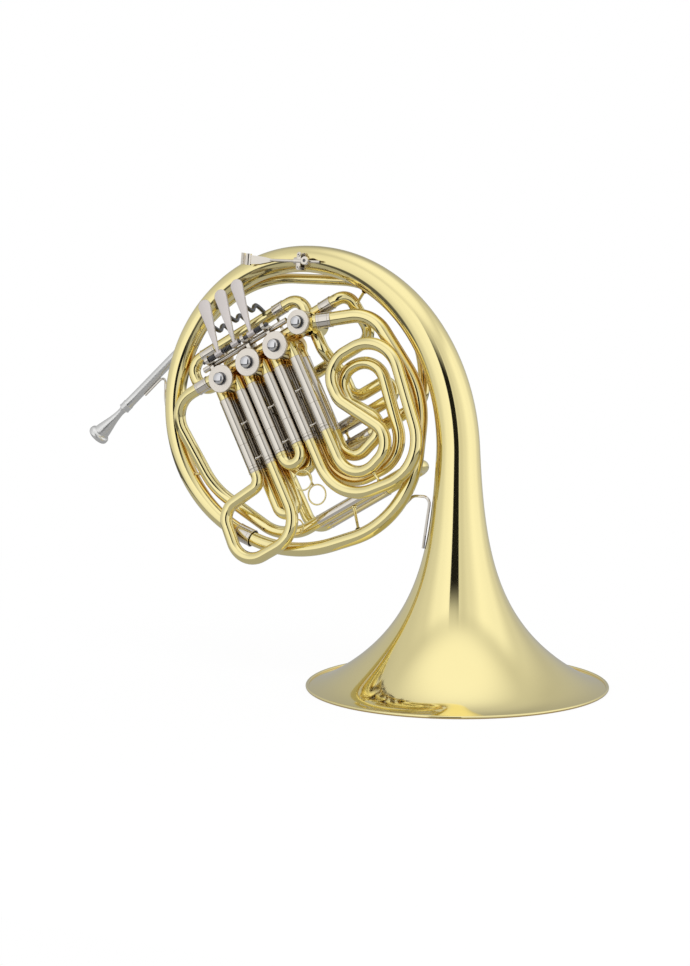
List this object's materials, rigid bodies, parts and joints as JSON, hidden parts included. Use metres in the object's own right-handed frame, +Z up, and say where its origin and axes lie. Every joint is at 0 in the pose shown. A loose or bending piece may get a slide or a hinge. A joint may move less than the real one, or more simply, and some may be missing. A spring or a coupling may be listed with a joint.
{
  "type": "french horn",
  "caption": "Double french horn standing on its bell, with rotary valves worked by finger and thumb levers, pull-out tuning slides, coiled tubing and a mouthpiece.",
  "frame": {"origin": "centre of the bell rim on the plane that the horn stands on", "axes": "+Z up along the bell axis, +X away from the coil, -X towards the mouthpiece, -Y the side with the finger levers"},
  "size_m": [0.6146, 0.31, 0.4437],
  "materials": {
    "lacquered_brass": "clear lacquered, mirror bright",
    "nickel_silver": "nickel silver, polished",
    "silver_plate": "silver plate, satin bright",
    "cap_silver": "fine turned, pale",
    "polished_chrome": "mirror polished",
    "rotor_bronze": "turned, oiled",
    "dark_steel": "dark spring steel",
    "stop_rubber": "matt"
  },
  "bodies": {
    "horn_body": {"bell_branch": "lacquered_brass", "bell_flare": "lacquered_brass", "bell_rim": "lacquered_brass", "brace_wires": "nickel_silver", "braces": "lacquered_brass", "branch_ferrules": "nickel_silver", "cap_domes": "polished_chrome", "change_ports": "lacquered_brass", "feed_tube_1": "lacquered_brass", "feed_tube_f": "lacquered_brass", "first_branch": "lacquered_brass", "front_sleeves": "nickel_silver", "hook_saddle": "nickel_silver", "hook_screws": "dark_steel", "leadpipe": "lacquered_brass", "lever_axle": "dark_steel", "lever_posts": "nickel_silver", "lever_springs": "dark_steel", "main_sleeves": "nickel_silver", "mouthpiece_receiver": "nickel_silver", "port_tubes": "lacquered_brass", "rear_plates": "lacquered_brass", "rear_sleeves": "nickel_silver", "return_bend": "lacquered_brass", "riser_tube": "lacquered_brass", "row_tube": "lacquered_brass", "stop_corks": "stop_rubber", "tube_ferrules": "nickel_silver", "tuning_sleeves": "nickel_silver", "valve_caps": "cap_silver", "valve_casings": "lacquered_brass"},
    "mouthpiece": {"mouthpiece": "silver_plate"},
    "lever_1": {"lever_1": "nickel_silver"},
    "lever_2": {"lever_2": "nickel_silver"},
    "lever_3": {"lever_3": "nickel_silver"},
    "thumb_lever": {"thumb_lever": "nickel_silver"},
    "link_1": {"link_1": "nickel_silver"},
    "link_2": {"link_2": "nickel_silver"},
    "link_3": {"link_3": "nickel_silver"},
    "link_4": {"link_4": "nickel_silver"},
    "valve_1": {"rotor_1": "rotor_bronze", "crank_1": "nickel_silver"},
    "valve_2": {"rotor_2": "rotor_bronze", "crank_2": "nickel_silver"},
    "valve_3": {"rotor_3": "rotor_bronze", "crank_3": "nickel_silver"},
    "valve_4": {"rotor_4": "rotor_bronze", "crank_4": "nickel_silver"},
    "f_slide_1": {"f_slide_1": "nickel_silver", "f_crook_1": "lacquered_brass"},
    "f_slide_2": {"f_slide_2": "lacquered_brass"},
    "f_slide_3": {"f_slide_3": "nickel_silver", "f_crook_3": "lacquered_brass"},
    "b_slide_1": {"b_slide_1": "lacquered_brass"},
    "b_slide_2": {"b_slide_2": "lacquered_brass"},
    "b_slide_3": {"b_slide_3": "nickel_silver", "b_crook_3": "lacquered_brass"},
    "main_slide": {"main_slide": "lacquered_brass"},
    "tuning_slide": {"tuning_slide": "nickel_silver"},
    "pinky_hook": {"pinky_hook": "nickel_silver"}
  },
  "joints": [
    {"name": "lever_1_press", "type": "hinge", "parent": "horn_body", "child": "lever_1", "pos_m": [-0.26856, -0.02717, 0.33145], "axis": [-0.8554, -0.0855, -0.5109], "range_deg": [0, 13.6], "stiffness_Nm_per_rad": 0.15, "springref_deg": -20.05},
    {"name": "link_1_pivot", "type": "hinge", "parent": "lever_1", "child": "link_1", "pos_m": [-0.28323, 0.02295, 0.34013], "axis": [-0.8554, -0.0855, -0.5109], "range_deg": [-13.8, 0]},
    {"name": "valve_1_turn", "type": "hinge", "parent": "horn_body", "child": "valve_1", "pos_m": [-0.26554, 0.00006, 0.3003], "axis": [0, 0.9863, -0.165], "range_deg": [0, 90]},
    {"name": "lever_2_press", "type": "hinge", "parent": "horn_body", "child": "lever_2", "pos_m": [-0.24974, -0.02529, 0.34269], "axis": [-0.8554, -0.0855, -0.5109], "range_deg": [0, 13.6], "stiffness_Nm_per_rad": 0.15, "springref_deg": -20.05},
    {"name": "link_2_pivot", "type": "hinge", "parent": "lever_2", "child": "link_2", "pos_m": [-0.26428, 0.02484, 0.35145], "axis": [-0.8554, -0.0855, -0.5109], "range_deg": [-13.8, 0]},
    {"name": "valve_2_turn", "type": "hinge", "parent": "horn_body", "child": "valve_2", "pos_m": [-0.23432, 0.00318, 0.31895], "axis": [0, -0.9863, 0.165], "range_deg": [0, 90]},
    {"name": "lever_3_press", "type": "hinge", "parent": "horn_body", "child": "lever_3", "pos_m": [-0.23092, -0.02341, 0.35393], "axis": [-0.8554, -0.0855, -0.5109], "range_deg": [0, 13.6], "stiffness_Nm_per_rad": 0.15, "springref_deg": -20.05},
    {"name": "link_3_pivot", "type": "hinge", "parent": "lever_3", "child": "link_3", "pos_m": [-0.23306, 0.02797, 0.3701], "axis": [-0.8554, -0.0855, -0.5109], "range_deg": [-13.8, 0]},
    {"name": "valve_3_turn", "type": "hinge", "parent": "horn_body", "child": "valve_3", "pos_m": [-0.20309, 0.0063, 0.3376], "axis": [0, -0.9863, 0.165], "range_deg": [0, 90]},
    {"name": "thumb_press", "type": "hinge", "parent": "horn_body", "child": "thumb_lever", "pos_m": [-0.22849, -0.01618, 0.34864], "axis": [0.8554, 0.0855, 0.5109], "range_deg": [0, 17.3], "stiffness_Nm_per_rad": 0.15, "springref_deg": -20.05},
    {"name": "link_4_pivot", "type": "hinge", "parent": "thumb_lever", "child": "link_4", "pos_m": [-0.18618, 0.02634, 0.36039], "axis": [0.8554, 0.0855, 0.5109], "range_deg": [-17.5, 0]},
    {"name": "valve_4_turn", "type": "hinge", "parent": "horn_body", "child": "valve_4", "pos_m": [-0.17751, 0.01048, 0.36257], "axis": [0, 0.9863, -0.165], "range_deg": [0, 90]},
    {"name": "f_slide_1_pull", "type": "slide", "parent": "horn_body", "child": "f_slide_1", "axis": [0.518, -0.1412, -0.8436], "range_m": [0, 0.035]},
    {"name": "f_slide_2_pull", "type": "slide", "parent": "horn_body", "child": "f_slide_2", "axis": [0.518, -0.1412, -0.8436], "range_m": [0, 0.03]},
    {"name": "f_slide_3_pull", "type": "slide", "parent": "horn_body", "child": "f_slide_3", "axis": [0.518, -0.1412, -0.8436], "range_m": [0, 0.03]},
    {"name": "b_slide_1_pull", "type": "slide", "parent": "horn_body", "child": "b_slide_1", "axis": [0.518, -0.1412, -0.8436], "range_m": [0, 0.006]},
    {"name": "b_slide_2_pull", "type": "slide", "parent": "horn_body", "child": "b_slide_2", "axis": [0.518, -0.1412, -0.8436], "range_m": [0, 0.02]},
    {"name": "b_slide_3_pull", "type": "slide", "parent": "horn_body", "child": "b_slide_3", "axis": [0.518, -0.1412, -0.8436], "range_m": [0, 0.01]},
    {"name": "main_slide_pull", "type": "slide", "parent": "horn_body", "child": "main_slide", "axis": [-0.8554, -0.0855, -0.5109], "range_m": [0, 0.015]},
    {"name": "tuning_slide_pull", "type": "slide", "parent": "horn_body", "child": "tuning_slide", "axis": [0.8554, 0.0855, 0.5109], "range_m": [0, 0.02]},
    {"name": "mouthpiece_pull", "type": "slide", "parent": "horn_body", "child": "mouthpiece", "axis": [-0.7071, -0.1167, -0.6974], "range_m": [0, 0.03]},
    {"name": "pinky_hook_shift", "type": "slide", "parent": "horn_body", "child": "pinky_hook", "axis": [1, 0, 0], "range_m": [-0.005, 0.005]}
  ],
  "couplings": [
    {"joint": "link_1_pivot", "follows": "lever_1_press", "ratio": -1},
    {"joint": "valve_1_turn", "follows": "lever_1_press", "ratio": 6.617},
    {"joint": "link_2_pivot", "follows": "lever_2_press", "ratio": -1},
    {"joint": "valve_2_turn", "follows": "lever_2_press", "ratio": 6.617},
    {"joint": "link_3_pivot", "follows": "lever_3_press", "ratio": -1},
    {"joint": "valve_3_turn", "follows": "lever_3_press", "ratio": 6.617},
    {"joint": "link_4_pivot", "follows": "thumb_press", "ratio": -1},
    {"joint": "valve_4_turn", "follows": "thumb_press", "ratio": 5.202}
  ]
}
